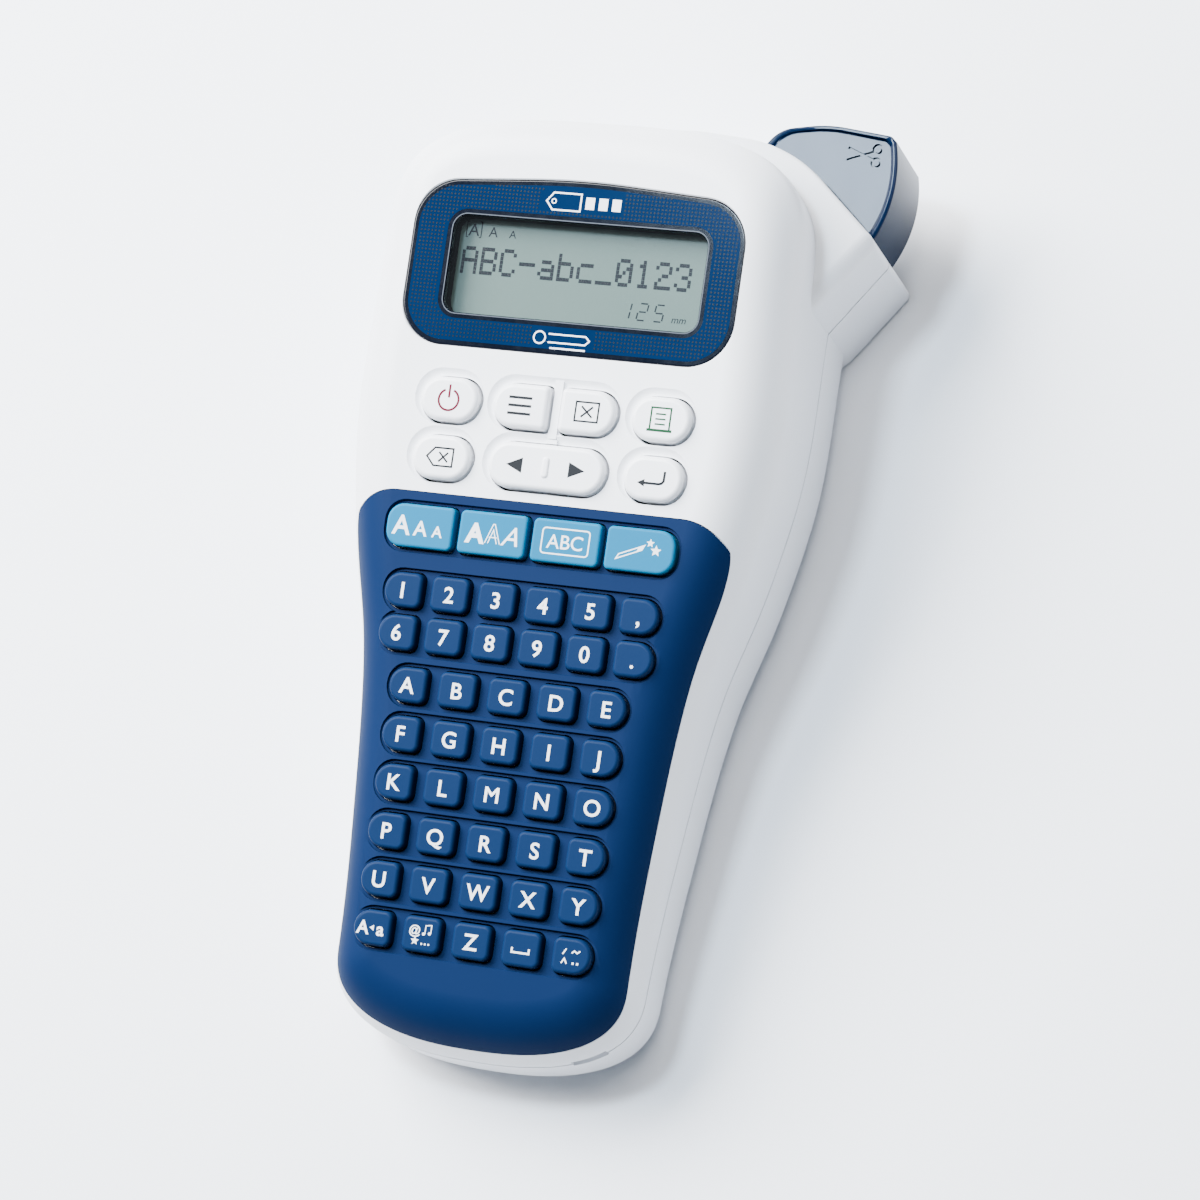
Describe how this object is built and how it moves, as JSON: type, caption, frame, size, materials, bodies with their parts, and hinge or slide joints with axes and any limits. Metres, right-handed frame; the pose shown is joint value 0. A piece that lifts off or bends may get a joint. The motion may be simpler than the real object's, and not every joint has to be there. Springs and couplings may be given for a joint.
{
  "type": "handheld label maker",
  "caption": "Handheld label maker with a waisted white case, a blue keypad panel, a dot-printed display window and a cutter lever at its upper right corner",
  "frame": {"origin": "on the rest plane under the back cover, on the body's centreline and halfway between the foot's end and the cutter lever's top", "axes": "+Y from the grip to the head, +Z out of the back's rest plane towards the keys, +X to the right seen from the keys; the keyed face leans by 9.5 degrees about X, higher at the head"},
  "size_m": [0.109, 0.2084, 0.0583],
  "materials": {
    "white_plastic": "satin",
    "navy_plastic": "satin",
    "navy_gloss": "glossy",
    "turquoise_plastic": "satin",
    "key_white": "satin",
    "window_print": "glossy",
    "display_glass": "glossy",
    "dark_plastic": "matte",
    "rubber": "matte",
    "circuit_board": "satin",
    "steel": "brushed",
    "zinc": "satin",
    "brass": "polished",
    "gear_plastic": "satin",
    "cassette_plastic": "satin",
    "cell_wrap": "glossy"
  },
  "bodies": {
    "case": {"front_case": "white_plastic", "keypad_panel": "navy_plastic", "rear_case": "white_plastic", "display_window": "window_print", "display_frame": "dark_plastic", "display_glass": "display_glass", "lever_pivot_pin": "steel", "lever_spring": "steel", "main_board": "circuit_board", "key_mat": "rubber", "controller_chip": "dark_plastic", "mechanism_frame": "zinc", "drive_motor": "steel", "print_head": "zinc", "tape_cassette": "cassette_plastic", "battery_tray": "white_plastic", "battery_contacts_left": "steel", "battery_contacts_right": "steel", "battery_1": "cell_wrap", "battery_2": "cell_wrap", "battery_3": "cell_wrap", "battery_4": "cell_wrap", "battery_5": "cell_wrap", "battery_6": "cell_wrap", "case_screw_1": "steel", "case_screw_2": "steel", "case_screw_3": "steel", "case_screw_4": "steel"},
    "back_cover": {"back_cover": "white_plastic"},
    "cutter_lever": {"cutter_lever": "navy_gloss"},
    "cutter_blade": {"cutter_blade": "steel"},
    "motor_pinion": {"motor_pinion": "brass", "motor_shaft": "steel"},
    "reduction_gear": {"reduction_gear": "gear_plastic"},
    "idler_gear": {"idler_gear": "gear_plastic"},
    "platen": {"platen_gear": "gear_plastic", "platen_shaft": "steel", "platen_roller": "rubber"},
    "power_key": {"power_key": "key_white"},
    "menu_key": {"menu_key": "key_white"},
    "escape_key": {"escape_key": "key_white"},
    "print_key": {"print_key": "key_white"},
    "backspace_key": {"backspace_key": "key_white"},
    "enter_key": {"enter_key": "key_white"},
    "cursor_key": {"cursor_key": "key_white"},
    "text_size_key": {"text_size_key": "turquoise_plastic"},
    "text_style_key": {"text_style_key": "turquoise_plastic"},
    "text_frame_key": {"text_frame_key": "turquoise_plastic"},
    "decoration_key": {"decoration_key": "turquoise_plastic"},
    "number_keys_row_1": {"number_keys_row_1": "navy_plastic"},
    "number_keys_row_2": {"number_keys_row_2": "navy_plastic"},
    "letter_keys_row_1": {"letter_keys_row_1": "navy_plastic"},
    "letter_keys_row_2": {"letter_keys_row_2": "navy_plastic"},
    "letter_keys_row_3": {"letter_keys_row_3": "navy_plastic"},
    "letter_keys_row_4": {"letter_keys_row_4": "navy_plastic"},
    "letter_keys_row_5": {"letter_keys_row_5": "navy_plastic"},
    "letter_keys_row_6": {"letter_keys_row_6": "navy_plastic"}
  },
  "joints": [
    {"name": "back_cover_hinge", "type": "hinge", "parent": "case", "child": "back_cover", "pos_m": [0, -0.093, 0], "axis": [-1, 0, 0], "range_deg": [0, 75]},
    {"name": "cutter_lever_hinge", "type": "hinge", "parent": "case", "child": "cutter_lever", "pos_m": [0.031, 0.0945, 0.025], "axis": [0, 0, -1], "range_deg": [0, 16], "stiffness_Nm_per_rad": 0.25},
    {"name": "cutter_blade_slide", "type": "slide", "parent": "case", "child": "cutter_blade", "axis": [0.7577, -0.6526, 0], "range_m": [0, 0.0036]},
    {"name": "reduction_gear_spin", "type": "hinge", "parent": "case", "child": "reduction_gear", "pos_m": [-0.00481, 0.06461, 0.0246], "axis": [0, 0, 1], "continuous": true},
    {"name": "motor_pinion_spin", "type": "hinge", "parent": "case", "child": "motor_pinion", "pos_m": [-0.02081, 0.06461, 0.0246], "axis": [0, 0, 1], "continuous": true},
    {"name": "idler_gear_spin", "type": "hinge", "parent": "case", "child": "idler_gear", "pos_m": [0.01507, 0.07305, 0.0246], "axis": [0, 0, 1], "continuous": true},
    {"name": "platen_spin", "type": "hinge", "parent": "case", "child": "platen", "pos_m": [0.0325, 0.0755, 0.0246], "axis": [0, 0, 1], "continuous": true},
    {"name": "power_key_press", "type": "slide", "parent": "case", "child": "power_key", "axis": [0, 0.165, -0.9863], "range_m": [0, 0.0009], "stiffness_N_per_m": 600},
    {"name": "menu_key_press", "type": "slide", "parent": "case", "child": "menu_key", "axis": [0, 0.165, -0.9863], "range_m": [0, 0.0009], "stiffness_N_per_m": 600},
    {"name": "escape_key_press", "type": "slide", "parent": "case", "child": "escape_key", "axis": [0, 0.165, -0.9863], "range_m": [0, 0.0009], "stiffness_N_per_m": 600},
    {"name": "print_key_press", "type": "slide", "parent": "case", "child": "print_key", "axis": [0, 0.165, -0.9863], "range_m": [0, 0.0009], "stiffness_N_per_m": 600},
    {"name": "backspace_key_press", "type": "slide", "parent": "case", "child": "backspace_key", "axis": [0, 0.165, -0.9863], "range_m": [0, 0.0009], "stiffness_N_per_m": 600},
    {"name": "enter_key_press", "type": "slide", "parent": "case", "child": "enter_key", "axis": [0, 0.165, -0.9863], "range_m": [0, 0.0009], "stiffness_N_per_m": 600},
    {"name": "cursor_key_rock", "type": "hinge", "parent": "case", "child": "cursor_key", "pos_m": [0.001, 0.01943, 0.04441], "axis": [0, 0.9863, 0.165], "range_deg": [-3.5, 3.5], "stiffness_Nm_per_rad": 0.3},
    {"name": "text_size_key_press", "type": "slide", "parent": "case", "child": "text_size_key", "axis": [0, 0.165, -0.9863], "range_m": [0, 0.0009], "stiffness_N_per_m": 600},
    {"name": "text_style_key_press", "type": "slide", "parent": "case", "child": "text_style_key", "axis": [0, 0.165, -0.9863], "range_m": [0, 0.0009], "stiffness_N_per_m": 600},
    {"name": "text_frame_key_press", "type": "slide", "parent": "case", "child": "text_frame_key", "axis": [0, 0.165, -0.9863], "range_m": [0, 0.0009], "stiffness_N_per_m": 600},
    {"name": "decoration_key_press", "type": "slide", "parent": "case", "child": "decoration_key", "axis": [0, 0.165, -0.9863], "range_m": [0, 0.0009], "stiffness_N_per_m": 600},
    {"name": "number_keys_row_1_press", "type": "slide", "parent": "case", "child": "number_keys_row_1", "axis": [0, 0.165, -0.9863], "range_m": [0, 0.0009], "stiffness_N_per_m": 1500},
    {"name": "number_keys_row_2_press", "type": "slide", "parent": "case", "child": "number_keys_row_2", "axis": [0, 0.165, -0.9863], "range_m": [0, 0.0009], "stiffness_N_per_m": 1500},
    {"name": "letter_keys_row_1_press", "type": "slide", "parent": "case", "child": "letter_keys_row_1", "axis": [0, 0.165, -0.9863], "range_m": [0, 0.0009], "stiffness_N_per_m": 1500},
    {"name": "letter_keys_row_2_press", "type": "slide", "parent": "case", "child": "letter_keys_row_2", "axis": [0, 0.165, -0.9863], "range_m": [0, 0.0009], "stiffness_N_per_m": 1500},
    {"name": "letter_keys_row_3_press", "type": "slide", "parent": "case", "child": "letter_keys_row_3", "axis": [0, 0.165, -0.9863], "range_m": [0, 0.0009], "stiffness_N_per_m": 1500},
    {"name": "letter_keys_row_4_press", "type": "slide", "parent": "case", "child": "letter_keys_row_4", "axis": [0, 0.165, -0.9863], "range_m": [0, 0.0009], "stiffness_N_per_m": 1500},
    {"name": "letter_keys_row_5_press", "type": "slide", "parent": "case", "child": "letter_keys_row_5", "axis": [0, 0.165, -0.9863], "range_m": [0, 0.0009], "stiffness_N_per_m": 1500},
    {"name": "letter_keys_row_6_press", "type": "slide", "parent": "case", "child": "letter_keys_row_6", "axis": [0, 0.165, -0.9863], "range_m": [0, 0.0009], "stiffness_N_per_m": 1500}
  ],
  "couplings": [
    {"joint": "cutter_blade_slide", "follows": "cutter_lever_hinge", "m_per_rad": 0.0125},
    {"joint": "motor_pinion_spin", "follows": "reduction_gear_spin", "ratio": -3},
    {"joint": "idler_gear_spin", "follows": "reduction_gear_spin", "ratio": -1.25},
    {"joint": "platen_spin", "follows": "reduction_gear_spin", "ratio": 1.5}
  ]
}
